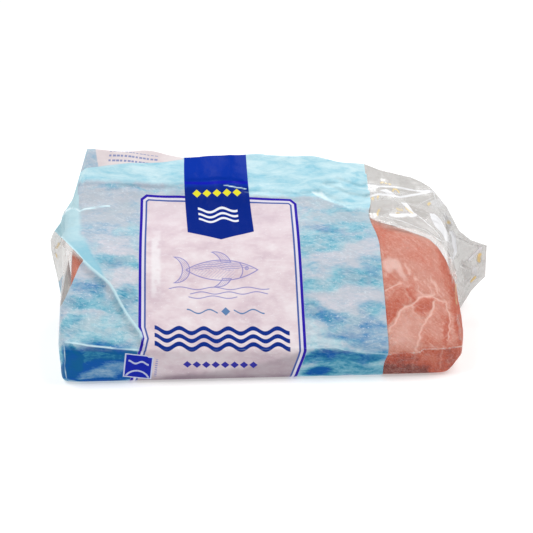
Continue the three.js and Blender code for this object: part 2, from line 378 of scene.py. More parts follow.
away, side = distance(across, up, FLAP_EDGE)
flap_share = np.clip(away * np.where(side > 0, 1.0, -1.0), -FOLD_REACH, FOLD_REACH)
flap_share = np.where(fore > 0, flap_share, -FOLD_REACH)
above = ease(1, 16, bag_points[..., 2])
tight = np.maximum(tight, -0.35 - 1.6 * (hollow > 0) * fore) * above * (1 - loose)
bag_points = bag_points + bag_out * tight[..., None] + lean * (flap * loose)[..., None]
bag_points[..., 2] = np.maximum(bag_points[..., 2], 0.0)
near_edge = np.exp(-((across - PRINT_EDGE) / 14) ** 2) * (1 - loose)
bag_points[..., 0] += (1.2 - 4.6 * ease(84, 118, bag_v) * (column < half)
                       - 3.2 * ease(2, -16, bag_v) * ease(-70, -30, bag_v)) * near_edge
CORNER = np.array([-141.0, 55.0, 74.4])
PRINT_SIDE = np.array([-0.836, 0.0, 0.548])
FOLD_SIDE = np.array([-0.738, -0.412, -0.534])
LEFT_CLEAR_X, FAR_CLEAR_X, FAR_CLEAR_V = -139, -146, -120
past_fold = np.clip((CORNER - bag_points) @ FOLD_SIDE, -FOLD_REACH, FOLD_REACH)
fold += (past_fold - fold) * ease(LEFT_CLEAR_X, -145, across) * fore

# The water on the print: broad wet strokes, each with its place, reach, depth of blue
# and share of green, the later ones laid over the earlier.
STROKES = [
    (62, 117, 28, 10, 0.45, 0.8), (45, 103, 18, 6, 0.58, 0.5), (67, 106, 20, 7, 0.45, 0.9),
    (36, 88, 20, 10, 0.35, 0.9), (60, 93, 24, 4, 0.45, 0.7), (43, 80, 24, 7, 0.42, 0.8),
    (72, 82, 12, 9, 0.08, 0), (54, 73, 26, 6, 0.10, 0), (78, 70, 10, 8, 0.45, 0.5),
    (31, 67, 8, 4, 0.3, 0.3), (59, 60, 18, 5, 0.45, 0.6), (68, 57, 18, 7, 0.52, 0.8),
    (38, 52, 20, 6, 0.42, 0.9), (56, 40, 32, 8, 0.05, 0), (31, 32, 12, 9, 0.52, 0.5),
    (42, 27, 14, 7, 0.6, 0.4), (76, 31, 10, 6, 0.5, 0.5), (56, 21, 16, 6, 0.5, 0.4),
    (43, 13, 12, 6, 0.5, 0.5), (30, 15, 10, 7, 0.12, 0.5), (72, 17, 11, 9, 0.55, 0.2),
    (60, 9, 18, 6, 0.62, 0.3), (77, 7, 9, 9, 0.5, 0), (34, 5, 21, 4, 0.15, 0.6),
    (53, -6, 40, 6, 0.72, 0.7), (53, -18, 40, 7, 0.6, 0.9), (32, -18, 12, 4, 1, 0.4),
    (45, -3.5, 26, 3, 0.85, 0.5), (68, -7, 16, 4, 0.75, 0.7), (62, -21, 22, 4, 0.5, 0.9),
    (-140, 165, 12, 8, 0.3, 0.2), (-123, 140, 30, 12, 0.18, 0.1), (-115, 144, 24, 2, 0.4, 0.5),
    (-127, 132, 21, 7, 0.22, 0), (-124, 118, 24, 6, 0.22, 0.2), (-119, 109, 22, 7, 0.36, 0),
    (-129, 98, 11, 6, 0.4, 0), (-108, 103, 10, 8, 0.3, 0.6), (-118, 90, 16, 6, 0.12, 0),
    (-112, 79, 14, 6, 0.06, 0), (-119, 70, 19, 6, 0.52, 0.7), (-105, 68, 8, 9, 0.48, 0.7),
    (-109, 57, 12, 9, 0.05, 0.1), (-105, 40, 10, 8, 0.6, 0.8), (-110, 35, 6, 8, 0.6, 0.7),
    (-103, 22, 6, 10, 0.35, 0.6),
]
FOLDED_STROKES = [
    (-139, 64, 12, 8, 0.18, 0), (-140, 51, 18, 7, 0.5, 0.3), (-127, 47, 7, 7, 0.6, 0.6),
    (-142, 42, 12, 6, 0.4, 0.2), (-145, 35, 12, 6, 0.62, 0.8), (-127, 35, 16, 7, 0.45, 0.8),
    (-133, 28, 18, 4, 0.2, 0.3), (-142, 21, 10, 5, 0.52, 0.9), (-123, 23, 19, 7, 0.2, 0.6),
    (-127, 13, 29, 9, 0.28, 0.8), (-146, 17, 8, 9, 0.5, 0.8),
]
# Below the lip at the left the strokes run deeper blue, partly print and partly painted shade under the
# overhang; the thin dark stroke just under the lip line is the lip's painted shadow
FOOT_STROKES = [
    (-122, -14, 34, 18, 1.06, 0.4), (-128, -6.5, 22, 3.6, 0.82, 0.9), (-112, -2, 40, 2.2, 1.2, 0.6),
    (-140, -5, 8, 5, 0.85, 0.8), (-146, -12, 3.5, 14, 1.25, 1),
    (-131, -22, 16, 5, 0.6, 0), (-117, -16, 12, 5, 0.64, 0), (-152, -14, 6, 16, 1.15, 0.6),
    (-129, -28, 34, 2, 1, 0.4),
]
draw = np.random.default_rng(23)
spots = [(draw.uniform(-160, 90), -40 - 245 * (k + draw.uniform(0, 1)) / 110, draw.uniform(12, 34),
          draw.uniform(4, 9), draw.uniform(0.05, 0.75), draw.uniform(0, 1)) for k in range(110)]
spots += [(draw.uniform(-270, -160), draw.uniform(-290, 120), draw.uniform(12, 30), draw.uniform(4, 9),
           draw.uniform(0.1, 0.45), draw.uniform(0, 1)) for k in range(130)]
spots += [(draw.uniform(-95, 20), draw.uniform(-32, 137), 24, 6, draw.uniform(0.1, 0.6), 0.5)
          for k in range(30)]
paint_u, paint_v = wobbled(bag_u, bag_v)
left_end = ease(-178, -166, bag_u) * fore
water_depth = np.full(bag_u.shape, 0.24)
water_green = np.full(bag_u.shape, 0.4)
for strokes, mask in ((spots + STROKES, 1.0), (FOLDED_STROKES, ease(0.6, -0.6, fold) * left_end),
                      (FOOT_STROKES, left_end)):
    for field, part in ((water_depth, 4), (water_green, 5)):
        painted = paint(field, paint_u, paint_v, [stroke[:4] + (stroke[part],) for stroke in strokes])
        field += (painted - field) * mask
strip = fore * ease(-1, 1, flap_share) * ease(-1, 1, fold)
water_depth += (0.08 + 0.5 * ease(113, 96, up) - water_depth) * strip

# The crumple of the clear end and the gleams on the print, drawn as painted light: planes
# painted white as highlights where the crumple catches the light, planes painted a denser grey
# for double film and for painted shade on facets turned from the light, and small yellow glints
# as painted reflections of warm light, all drawn as seen from the front, and bright gleams,
# painted highlights drawn on the film's own map. Each has its strength, a glint its width.
GLEAM_SHARE = 0.66
# Painted highlights: facets of the crumple that catch the light, painted white
HIGHLIGHT_PLANES = [
    ([(132, 122), (136, 122), (148.5, 105), (147, 99), (143, 99), (138, 107), (131, 117)], 1),
    ([(109, 131), (114, 131), (120.5, 119.5), (117, 119.5)], 0.9),
    ([(99, 121.3), (119, 121), (119, 118.8), (99, 119)], 1),
    ([(83, 147), (92, 146), (89, 140), (83, 140)], 0.45),
    ([(92, 142), (98, 142), (106, 138), (104, 135.5), (97, 139)], 0.9),
    ([(153, 107), (156, 100), (150, 84), (144, 80), (143, 96)], 0.4),
    ([(151, 109), (155, 108), (158, 100), (157, 88), (153.5, 84), (154, 98)], 0.75),
    ([(139.5, 74), (143, 76.5), (150, 74), (146, 68.5), (140, 69)], 0.8),
    ([(169, 78), (174, 78), (174, 71), (169, 70)], 0.45),
    ([(173, 96), (176, 96), (176.5, 86), (174.5, 86)], 0.5),
    ([(134, 133), (144, 135), (148, 130), (142, 126), (135, 127)], 0.4),
    ([(147, 125), (156, 113), (152, 112), (144, 118)], 0.5),
    ([(140.5, 86), (144.5, 86), (142, 68), (139.5, 64)], 0.55),
    ([(86, 85), (92, 87), (98, 84), (99, 77), (97, 73), (91, 76)], 0.2),
    ([(104, 103), (110, 101), (113, 96), (106, 98)], 0.2),
    ([(84, 28), (88, 31), (92, 24), (86, 21)], 0.3),
    ([(140, 44), (143, 42), (142.5, 22), (139.5, 24)], 0.45),
]
# Painted shade and double film: facets in shade and layered film, painted a denser grey
DENSE_AND_SHADED_PLANES = [
    ([(80, 170), (124, 158), (141, 144), (119, 143.5), (93, 148), (80, 149)], 0.5),
    ([(91, 143.5), (98, 144.5), (112, 143), (131, 141.5), (118, 140), (104, 140.5)], 0.6),
    ([(92, 143), (104, 144), (104, 142), (96, 142)], 1),
    ([(109, 136), (141, 138), (143, 131), (129, 128), (116, 134)], 0.6),
    ([(112, 134), (127, 133), (128, 130), (114, 131.5)], 0.9),
    ([(82, 134), (105, 133), (108, 129), (95, 121), (82, 124)], 0.45),
    ([(99, 118), (119, 118), (139, 101), (136, 95), (128, 103), (105, 111)], 0.4),
    ([(115, 130), (132, 122), (126, 117), (120, 121)], 0.9),
    ([(158, 108), (167, 103), (182, 98), (182, 77), (164, 59), (157, 70)], 0.1),
    ([(160, 84), (168, 84), (169, 70), (162, 62)], 0.3),
    ([(148, 118), (153, 110), (148, 104), (141, 118)], 0.6),
    ([(143, 66), (148, 64), (146, 46), (141, 44)], 0.8),
]
# Painted reflections: small warm yellow glints of warm light in the creases
GLINTS = [
    ([(95.4, 148), (97, 148)], 0.9), ([(99, 147.2), (99.8, 147.2)], 0.8), ([(102, 147), (103, 147)], 0.9),
    ([(103, 141), (104.5, 143), (107, 142.6), (108.4, 139.4)], 0.8), ([(82.6, 135), (84, 135.4)], 1.2),
    ([(87, 134.6), (87.6, 136)], 1.4), ([(91, 136), (91.4, 137.6)], 1.1), ([(92, 126), (91.4, 122)], 0.9),
    ([(104.6, 126), (109.4, 124.8)], 1), ([(104, 122), (106.4, 122.4)], 0.9),
    ([(112, 126), (117, 122)], 0.8),
    ([(132, 130), (134, 131.4)], 1.3), ([(150.4, 116), (151.6, 115)], 1.4),
    ([(144, 65), (143, 61), (142, 55), (143, 50)], 0.8), ([(175.4, 88.5), (174.2, 83)], 1.9),
    ([(171, 69.5), (168, 66)], 1.3),
    ([(-166.6, 102), (-165, 105)], 1), ([(-167.2, 95), (-167, 97)], 0.8),
]
# Painted highlights on the print's folds, laid into the crease crests
PRINT_GLEAMS = [
    ([(36, 143), (46, 143), (52, 136), (57, 131), (50, 133), (43, 136.5)], 1.3),
    ([(55, 150), (62, 148.5), (67, 142), (61, 145)], 1),
    ([(58, 131), (69, 126), (67, 125), (57, 129)], 0.9),
    ([(22, 144), (29, 143.5), (28, 141), (21, 141.5)], 1),
    ([(-60, 146.5), (-46, 147.5), (-46, 146.3), (-60, 145)], 0.4),
]
front_half = np.where(column < half, 1.0, np.maximum(fore * (1 - flat_share), flat_share ** 4))
plane_a, plane_b = across + 0.5 * np.sin(up / 1.9), up + 0.5 * np.sin(across / 2.3)
film_white_and_highlight, film_dense_and_shaded = (
    np.max([value * inside(plane_a, plane_b, corners, 0.7) for corners, value in planes], 0)
    for planes in (HIGHLIGHT_PLANES, DENSE_AND_SHADED_PLANES))
film_white_and_highlight = np.maximum(film_white_and_highlight, crest)
film_glints = np.max([ease(width, 0.3 * width, distance(plane_a, plane_b, line)[0])
                    for line, width in GLINTS], 0)
for corners, value in PRINT_GLEAMS:
    crest = np.maximum(crest, GLEAM_SHARE * value * inside(bag_u, bag_v, corners, 1.2) * fore)
values = {"crest": crest, "depth": water_depth, "green": water_green, "fold": fold, "flap": flap_share,
          "white": film_white_and_highlight * front_half, "grey": film_dense_and_shaded * front_half, "gold": film_glints * front_half}
bag = sheet_mesh("printed_film", wrap(bag_points), wrap(bag_u), wrap(bag_v),
                 {label: wrap(grid) for label, grid in values.items()})

# The tuna loin: a skinless, boneless quarter of a tuna, frozen hard, with a flat cut underside,
# a flat cut back and a sloping front of muscle blocks parted by pale seams. The film clings to
# it, and it shows only through the clear film at the two ends.
LOIN_ENDS = (-152.0, 146.5)
LOIN_DENSE_RUNS = (8, 8.5)
LOIN_END_DEPTH = 20.0
LOIN_CORE = np.array([58.0, 30.0])
LOIN_GAP, PRINT_GAP = 0.35, 4
SKIN_MARGINS = (13, 32)
FRONT_START = 78
# Where its corners leave the bag's, as x, y and z, and its points round and between the corners
LOIN_CORNERS = {
    "ridge": [(60, 101, 89), (84, 97, 84), (93, 92, 81), (104, 88, 79), (116, 85, 76.5), (127, 81, 74),
              (134, 76.5, 69.5), (139, 69.5, 63.5), (147, 57, 49)],
    "knee": [(60, 63, 80), (104, 61, 79), (116, 58, 77), (127, 54, 73), (134, 50, 67), (139, 45, 60),
             (147, 38, 50)],
    "shoulder": [(60, 121, 76), (104, 112, 66), (127, 104, 55), (138, 92, 44), (147, 82, 34)],
}
LOIN_SPLITS = {"ridge": (8, 10), "knee": (20, 92), "lip": (12, 26), "foot": (8, 18),
               "heel": (6, 12), "shoulder": (8, 8)}
# Its pale seams, each a line with its strength and width, and its darker and lighter blocks, each
# its corners with its depth of red and the softness of its edge, both as seen from the front.
# Most blocks are the flesh's own tones; those along the lip and foot and on the side turned
# away are painted shade, darkest at the foot, and the two palest are a painted highlight where
# a wrinkle of the film catches the light
SEAMS = [
    ([(82, 59), (86, 62), (91, 65), (99, 67)], 0.9, 0.8),
    ([(81, 20), (89, 36), (97, 45), (101, 50), (107, 52.5), (112, 56), (119, 57.5), (124, 59), (129, 60.5)],
     1, 0.9),
    ([(104, 82), (107, 79), (109, 74), (112, 69), (115, 67)], 0.85, 1.3),
    ([(115, 67), (119, 69), (123, 72)], 0.6, 0.8), ([(119, 69), (124, 69), (128, 64), (131, 61)], 0.9, 0.8),
    ([(114, 65), (113, 61), (116, 58), (122, 59), (125, 62), (122, 65), (117, 67)], 0.7, 0.7),
    ([(122, 59), (127, 54), (131, 52), (135, 52)], 0.85, 0.8), ([(84, 73), (90, 75)], 0.7, 0.7),
    ([(135, 52), (133, 50), (135, 45), (134, 39), (134, 31), (130, 24)], 0.9, 0.7),
    ([(123, 54), (123, 48), (118, 42), (115, 39), (113, 34), (110, 29), (108, 25), (107, 19), (110, 16)],
     1, 0.9),
    ([(83, 120), (89, 118), (99, 114), (108, 110), (116, 107), (125, 104), (133, 99), (139, 93)], 0.75, 1.3),
    ([(107, 51), (109, 45), (113, 38)], 0.55, 1), ([(98, 84), (103, 76), (105, 68)], 0.45, 1.1),
    ([(89, 29), (95, 25), (104, 25), (108, 23)], 0.35, 0.9), ([(87, 33), (86, 24), (88, 17)], 0.4, 0.9),
    ([(83, 99), (92, 93), (101, 84)], 0.35, 1), ([(101, 107), (112, 96), (123, 85)], 0.45, 0.9),
    ([(113, 104), (121, 93), (129, 83)], 0.35, 0.9), ([(84, 88), (90, 96), (94, 104)], 0.3, 0.8),
    ([(129, 76), (134, 73), (137, 66)], 0.4, 0.8), ([(106, 18), (105, 10), (106, 3)], 0.35, 0.8),
    ([(128, 20), (125, 12), (127, 4)], 0.5, 0.8),
]
BLOCKS = [
    ([(78, 126), (110, 112), (142, 84), (137, 60), (118, 70), (100, 66), (78, 56)], 0.5, 3),
    ([(78, 121), (92, 117), (110, 110), (126, 105), (136, 98), (132, 94), (106, 106), (84, 114)], 0.1, 2),
    ([(84, 114), (94, 110), (96, 102), (84, 98)], 0.8, 4),
    ([(112, 98), (124, 92), (130, 80), (116, 84)], 0.65, 4),
    # Painted highlight: the next two blocks, pale flesh where a wrinkle of the film catches the light
    ([(85, 85), (92, 88), (99, 84), (99, 77), (96, 73), (90, 76)], -1.1, 1.8),
    ([(97, 85), (101, 81), (105, 72), (102, 69), (97, 74)], -0.8, 1.8),
    ([(84, 75), (97, 77), (102, 67), (93, 62), (85, 57)], 0.6, 1.5),
    ([(106, 84), (116, 84), (124, 71), (118, 68), (110, 72)], 0.3, 2),
    ([(84, 54), (92, 60), (102, 65), (104, 52), (96, 47), (85, 36)], 0.85, 1),
    ([(85, 56), (96, 55), (99, 50), (92, 42), (84, 38)], 1.15, 1.6),
    ([(103, 64), (110, 67), (112, 57), (106, 53)], 0.85, 1),
    ([(104, 64), (106, 64), (109, 55), (107, 54)], 1.4, 1),
    ([(114, 65), (125, 66), (125, 62), (118, 59), (113, 61)], 0.3, 1),
    ([(107, 52), (117, 57), (118, 48), (115, 42), (110, 46)], 1.1, 1.5),
    ([(116, 56), (123, 57), (122, 46), (117, 45)], 1.25, 1.2),
    ([(124, 57), (131, 52), (129, 49), (123, 50)], 0.5, 1),
    ([(88, 39), (102, 50), (106, 50), (112, 36), (108, 20), (92, 18), (83, 20)], -0.1, 1),
    ([(90, 30), (103, 38), (104, 26), (92, 22)], -0.45, 3),
    ([(112, 34), (120, 46), (128, 54), (133, 51), (132, 32), (125, 19), (109, 19)], 0.35, 0.8),
    ([(113, 28), (120, 28), (124, 22), (112, 20)], 0.75, 3),
    ([(126, 48), (131, 48), (131, 36), (127, 34)], 0.7, 2.5),
    ([(131, 40), (135, 42), (134, 28), (129, 20), (125, 19)], 1.1, 1.2),
    ([(132, 92), (139, 92), (140, 78), (139, 65), (133, 64), (133, 78)], 1, 2),
    # Painted shade: the side of the loin turning away from the light
    ([(138, 75), (152, 72), (152, 30), (142, 20), (138, 22), (137, 40), (137, 62)], 1.15, 2.2),
    # Painted shade: these four blocks, the lip band under the overhang, darkest at the foot
    ([(80, 16), (108, 16), (112, 18), (146, 19), (144, 0), (80, -4)], 1.5, 1.4),
    ([(80, 8), (96, 7), (118, 4), (120, -8), (80, -8)], 2.2, 4),
    ([(108, 16), (122, 16), (122, 8), (110, 8)], 1, 3),
    ([(125, 16), (142, 20), (141, 5), (126, 4)], 1.45, 3),
]
loin_x = np.concatenate([
    LOIN_ENDS[0] + LOIN_DENSE_RUNS[0] * np.linspace(0, 1, 24) ** 4,
    np.linspace(LOIN_ENDS[0] + LOIN_DENSE_RUNS[0], 80, 76)[1:],
    np.linspace(80, LOIN_ENDS[1] - LOIN_DENSE_RUNS[1], 100)[1:],
    LOIN_ENDS[1] - LOIN_DENSE_RUNS[1] * np.linspace(1, 0, 30)[1:] ** 4,
])
loin_at = body_corners(loin_x)
for name, line in LOIN_CORNERS.items():
    loin_at[name] = np.where((loin_x > 60)[:, None], along(line, loin_x), loin_at[name])
loin_ring = wrap(section(loin_at, LOIN_SPLITS, closed=True))
last = [0] + list(range(len(loin_x))) + [len(loin_x) - 1]
loin_x, loin_ring = loin_x[last], loin_ring[last]
loin_ring[[0, -1]] = LOIN_CORE
gone = np.maximum(loin_x - LOIN_ENDS[1] + LOIN_END_DEPTH, LOIN_ENDS[0] + LOIN_END_DEPTH - loin_x)
gone = 1 - (1 - np.clip(gone / LOIN_END_DEPTH, 0, 1) ** 4) ** 0.25
core = LOIN_CORE + np.array([0.1, 0.25]) * (loin_ring - LOIN_CORE)
loin_ring = loin_ring + (core - loin_ring) * gone[:, None, None]
loin_places = np.broadcast_to(loin_x[:, None, None], loin_ring.shape[:2] + (1,))
loin_points = np.concatenate([loin_places, loin_ring], -1)
loin_u, loin_v = film_map(loin_points, lip_middle(LOIN_SPLITS))

# Drawn in by the vacuum, the film lies on the loin, so the loin keeps just inside it. Every
# point is pushed in twice, because the first push can bring it near another face of the film.
inner, outer = bag_low.x + SKIN_MARGINS[0] * MM, bag_high.x - SKIN_MARGINS[1] * MM
skin = BVHTree.FromPolygons([v.co for v in bag.data.vertices],
                            [p.vertices for p in bag.data.polygons if inner < p.center.x < outer])
flat_points = loin_points.reshape(-1, 3)
for k in list(range(len(flat_points))) * 2:
    x, _, z = flat_points[k]
    here = Vector((flat_points[k] + shift) * MM)
    place, normal, _, _ = skin.find_nearest(here)
    under_print = ease(76, 66, x) * (1 - ease(-136, -142, x) * ease(30, 40, z))
    gap = LOIN_GAP + PRINT_GAP * float(under_print)
    depth = (here - place).dot(normal) + gap * MM
    if depth > 0:
        flat_points[k] = np.array((here - normal * depth) / MM) - shift
loin_points = flat_points.reshape(loin_points.shape)
loin_out = normals(loin_points, (100, 60))
loin_across, loin_up = seen_from_front(loin_points)
wavy_a = loin_across + 0.8 * np.sin(loin_up / 2.3) + 0.4 * np.sin(loin_up / 0.9)
wavy_b = loin_up + 0.8 * np.sin(loin_across / 2.7)
front_columns = first_columns(LOIN_SPLITS)["foot"] + LOIN_SPLITS["foot"][0]
loin_fore = (np.arange(loin_v.shape[1])[None, :] < front_columns) & (loin_across > FRONT_START)
seam = np.zeros(loin_u.shape)
groove = np.full(loin_u.shape, 1e9)
for line, strength, width in SEAMS:
    away, _ = distance(wavy_a, wavy_b, line)
    for share, reach in ((1.0, 1.0), (0.32, 2.6)):
        seam = np.maximum(seam, share * strength * np.exp(-(away / width / reach) ** 2) * loin_fore)
    groove = np.minimum(groove, np.where(loin_fore, away + 2 * (1 - strength), 1e9))
bands = np.abs(((loin_u + 5 * np.sin(loin_v / 17) + 0.35 * np.abs(loin_v - 40)) / 21) % 1 - 0.5) * 21
seam = np.where(loin_fore, seam, 0.8 * np.exp(-(bands / 0.9) ** 2))
groove = np.where(loin_fore, groove, bands)
domes = -0.5 * np.exp(-(groove / 1.8) ** 2) - 0.25 * np.exp(-(groove / 0.6) ** 2)
fibres = 0.05 * np.sin(loin_u / 0.8 + 4 * np.sin(loin_v / 13)) + 0.15 * np.sin(loin_u / 9 + loin_v / 5)
pits = 0.16 * np.sin(loin_u / 3.7 + loin_v / 2.9) * np.sin(loin_v / 4.3 - loin_u / 6.1)
flesh_rise = (domes + fibres + pits - 0.2) * ease(0.6, 4, loin_points[..., 2])
loin_points = loin_points + loin_out * flesh_rise[..., None]
loin_points[..., 2] = np.maximum(loin_points[..., 2], 0.4)
stain = np.full(loin_u.shape, 0.15)
for corners, value, soft in BLOCKS:
    stain += (value - stain) * inside(wavy_a, wavy_b, corners, soft) * loin_fore
stain = np.where(loin_across < -130, 0.9, stain)
tuna_loin = sheet_mesh("tuna_loin", loin_points, loin_u, loin_v, {"seam": seam, "stain": stain})


class Value:
    """A socket in the material that is being made: arithmetic on it adds Math nodes."""

    tree = None

    def __init__(self, socket):
        self.socket = socket

    def math(self, operation, *others):
        return node("ShaderNodeMath", dict(enumerate((self,) + others)), operation=operation)

    def __rsub__(self, other):
        return self.math("MULTIPLY_ADD", -1.0, other)

    def stripe(self, pitch):
        return abs((self / pitch).part() - 0.5)

    def over(self, edge, soft):
        limits = {0: self, 1: edge - soft / 2, 2: edge + soft / 2, 3: 0.0, 4: 1.0}
        return node("ShaderNodeMapRange", limits, interpolation_type="SMOOTHSTEP")

    def under(self, edge, soft):
        return 1 - self.over(edge, soft)

    def mixed(self, low, high):
        return node("ShaderNodeMix", {0: self, 6: low, 7: high}, output=2, data_type="RGBA")

    def ramp(self, *stops):
        colours = [(place, srgb(*colour)) for place, colour in stops]
        return node("ShaderNodeValToRGB", {0: self}, stops=colours)


def operator(operation):
    return lambda self, *others: self.math(operation, *others)


OPERATIONS = {"__add__": "ADD", "__radd__": "ADD", "__sub__": "SUBTRACT", "__mul__": "MULTIPLY",
              "__rmul__": "MULTIPLY", "__truediv__": "DIVIDE", "__abs__": "ABSOLUTE", "least": "MINIMUM",
              "most": "MAXIMUM", "root": "SQRT", "wave": "SINE", "part": "FRACT"}
for name, operation in OPERATIONS.items():
    setattr(Value, name, operator(operation))


def srgb(red, green, blue):
    linear = [((c / 255 + 0.055) / 1.055) ** 2.4 if c > 10 else c / 255 / 12.92 for c in (red, green, blue)]
    return (*linear, 1.0)


def new_material(name):
    material = bpy.data.materials.new(name)
    material.use_nodes = True
    Value.tree = material.node_tree
    return material


def node(kind, inputs, output=0, **settings):
    made = Value.tree.nodes.new(kind)
    for name, setting in settings.items():
        if name == "stops":
            ramp = made.color_ramp
            while len(ramp.elements) < len(setting):
                ramp.elements.new(0.5)
            for element, (place, colour) in zip(ramp.elements, setting):
                element.position = place
                element.color = colour
        else:
            setattr(made, name, setting)
    for name, value in inputs.items():
        if isinstance(value, Value):
            Value.tree.links.new(value.socket, made.inputs[name])
        else:
            made.inputs[name].default_value = value
    return Value(made.outputs[output])


def feed(**sockets):
    for name, value in sockets.items():
        socket = Value.tree.nodes["Principled BSDF"].inputs[name.replace("_", " ")]
        if isinstance(value, Value):
            Value.tree.links.new(value.socket, socket)
        else:
            socket.default_value = value


def attribute(name):
    return node("ShaderNodeAttribute", {}, output=2, attribute_name=name)


def film_axis(axis):
    where = node("ShaderNodeUVMap", {}, uv_map="film_map")
    return node("ShaderNodeSeparateXYZ", {0: where}, output=axis) * 1000


def noise(u_size, v_size, offset=0.0, detail=3.0, roughness=0.5, distortion=0.0, turn=0.0):
    where = node("ShaderNodeUVMap", {}, uv_map="film_map")
    placed = {"Vector": where, "Scale": (u_size, v_size, 1.0), "Rotation": (0.0, 0.0, turn),
              "Location": (-offset * u_size, -offset * v_size, 0.0)}
    where = node("ShaderNodeMapping", placed, vector_type="TEXTURE")
    return node("ShaderNodeTexNoise", {"Vector": where, "Scale": 1.0, "Detail": detail,
                                       "Roughness": roughness, "Distortion": distortion})


def circle(place, centre_a, centre_b, radius):
    off_a, off_b = place[0] - centre_a, place[1] - centre_b
    return (off_a * off_a + off_b * off_b).root() - radius


def crescent(place, whole, bite):
    return circle(place, *whole).most(0 - circle(place, *bite))


def triple_wave(swell, apart, half_width):
    return (abs(abs(swell) - apart) - half_width).least(abs(swell) - half_width).under(0, 0.4)


flesh = new_material("frozen_tuna_flesh")
seam_line = attribute("seam")
flesh_red_and_light = attribute("stain")
clouds = noise(0.016, 0.012, 0.0, 3.0)
grain = noise(0.0030, 0.0016, 3.0, 4.0, 0.6, 0.1, turn=-0.75)
mottle = noise(0.0045, 0.0045, 8.0, 4.0, 0.65)
frost = noise(0.0015, 0.0015, 2.0, 3.0, 0.7)
fibre = noise(0.020, 0.0014, 5.0, 3.0, 0.6, 0.4, turn=-0.75)
veins = abs(noise(0.015, 0.012, 9.0, 2.0, 0.5, 1.6) - 0.5).under(0.015, 0.02) * clouds.over(0.5, 0.2)
# The depth of red holds the flesh's own tones and the painted shade and highlight of the blocks
depth = flesh_red_and_light + (clouds - 0.5) * 1.3 + (mottle - 0.5) * 1.7 + (frost - 0.5) * 0.8
tone = (depth * 0.3 + 0.36).ramp((0.0, (230, 186, 176)), (0.36, (204, 136, 119)), (0.6, (194, 98, 72)),
                                  (0.75, (186, 78, 50)), (0.88, (156, 54, 36)), (1.0, (112, 32, 24)))
tone = (grain.over(0.56, 0.3) * 0.25).mixed(tone, srgb(228, 164, 146))
stringy = fibre.over(0.58, 0.2) * mottle.over(0.46, 0.16) * flesh_red_and_light.under(0.9, 0.4) * 0.3
tone = stringy.mixed(tone, srgb(240, 192, 178))
ragged = (seam_line.over(0.55, 0.7) * 0.5 + seam_line * 0.4) * (0.25 + grain * 0.5 + mottle * 0.8)
tone = ragged.most(veins * 0.2).least(0.85).mixed(tone, srgb(240, 194, 180))
iced = flesh_red_and_light.under(1.0, 1.2) * 0.8 + 0.2
rime = (mottle.over(0.6, 0.3) * 0.46).most(frost.over(0.6, 0.24) * 0.4) * iced
tone = rime.mixed(tone, srgb(238, 200, 188))
height = grain + mottle * 0.7 + frost * 0.3
bump = node("ShaderNodeBump", {"Height": height, "Strength": 0.45, "Distance": 0.0006})
feed(Base_Color=tone, Roughness=0.34 + mottle * 0.25, Normal=bump,
     Specular_IOR_Level=0.2, Subsurface_Weight=0.15, Subsurface_Radius=(0.004, 0.0015, 0.001),
     Subsurface_Scale=1.0)
tuna_loin.data.materials.append(flesh)
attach(tuna_loin, "root")
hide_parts("film_bag")

# The printed film: the middle of the bag. Its right edge runs straight round the bag, and its
# left end is cut along the diagonal fold and along the print's own edge below it.
bpy.ops.object.select_all(action="DESELECT")
bag.select_set(True)
bpy.context.view_layer.objects.active = bag
for side in (PRINT_SIDE, FOLD_SIDE):
    mode("EDIT")
    bpy.ops.mesh.select_mode(type="FACE")
    bpy.ops.mesh.select_all(action="DESELECT")
    mode("OBJECT")
    for face in bag.data.polygons:
        face.select = face.center.x < (CORNER[0] + shift[0] + 6) * MM and face.center.z > 30 * MM
    mode("EDIT")
    bpy.ops.mesh.bisect(plane_co=Vector((CORNER + shift) * MM), plane_no=Vector(side))
    mode("OBJECT")
faces = len(bag.data.polygons)
centres, starts = np.empty(faces * 3), np.empty(faces, np.int32)
flat_map = np.empty(len(bag.data.loops) * 2)
bag.data.polygons.foreach_get("center", centres)
bag.data.polygons.foreach_get("loop_start", starts)
bag.data.uv_layers.active.data.foreach_get("uv", flat_map)
centres = centres.reshape(-1, 3) / MM - shift
flat_map = flat_map.reshape(-1, 2) / MM
face_v = flat_map[starts, 1]
face_u = np.maximum(flat_map[starts, 0], flat_map[starts + 2, 0])
right_clear = face_u > PRINT_EDGE + 0.3
left_clear = ((centres - CORNER) @ PRINT_SIDE > 0) & ((centres - CORNER) @ FOLD_SIDE > 0)
left_clear &= centres[:, 0] < LEFT_CLEAR_X
left_clear |= (face_v < FAR_CLEAR_V) & (centres[:, 0] < FAR_CLEAR_X)
bag.data.polygons.foreach_set("select", right_clear | left_clear)
mode("EDIT")
bpy.ops.mesh.separate(type="SELECTED")
mode("OBJECT")
clear_film = next(piece for piece in bpy.context.selected_objects if piece is not bag)
clear_film.name = "clear_film"
printed_film = bag

# Its print, by its places on the film in millimetres: water strokes, a light band along the fin,
# a pinkish panel with a double border, a blue pennant over its top edge, a small label at its foot.
PANEL_U, PANEL_HALF_U, PANEL_V, PANEL_HALF_V = -37.0, 62.0, 38.5, 98.5
BACK_EDGE, BARS_V = -66.4, 164.2
paper = new_material("printed_gloss_film")
u, v = film_axis(0), film_axis(1)
wobble = noise(0.009, 0.009, 0.0, 2.0)
strokes = noise(0.026, 0.008, 0.0, 4.0, 0.6, 0.6)
bristles = noise(0.009, 0.0030, 7.0, 4.0, 0.7, 0.8)
speckle = noise(0.0036, 0.0018, 4.0, 3.0, 0.7, 0.4)
spray = noise(0.0022, 0.0016, 2.0, 3.0, 0.6)
patches = noise(0.026, 0.018, 5.0, 3.0, 0.6)
shade = attribute("depth") * 0.95 + (strokes - 0.5) * 0.5
shade = shade + (bristles - 0.5) * 0.6 + (speckle - 0.5) * 0.5 + 0.1
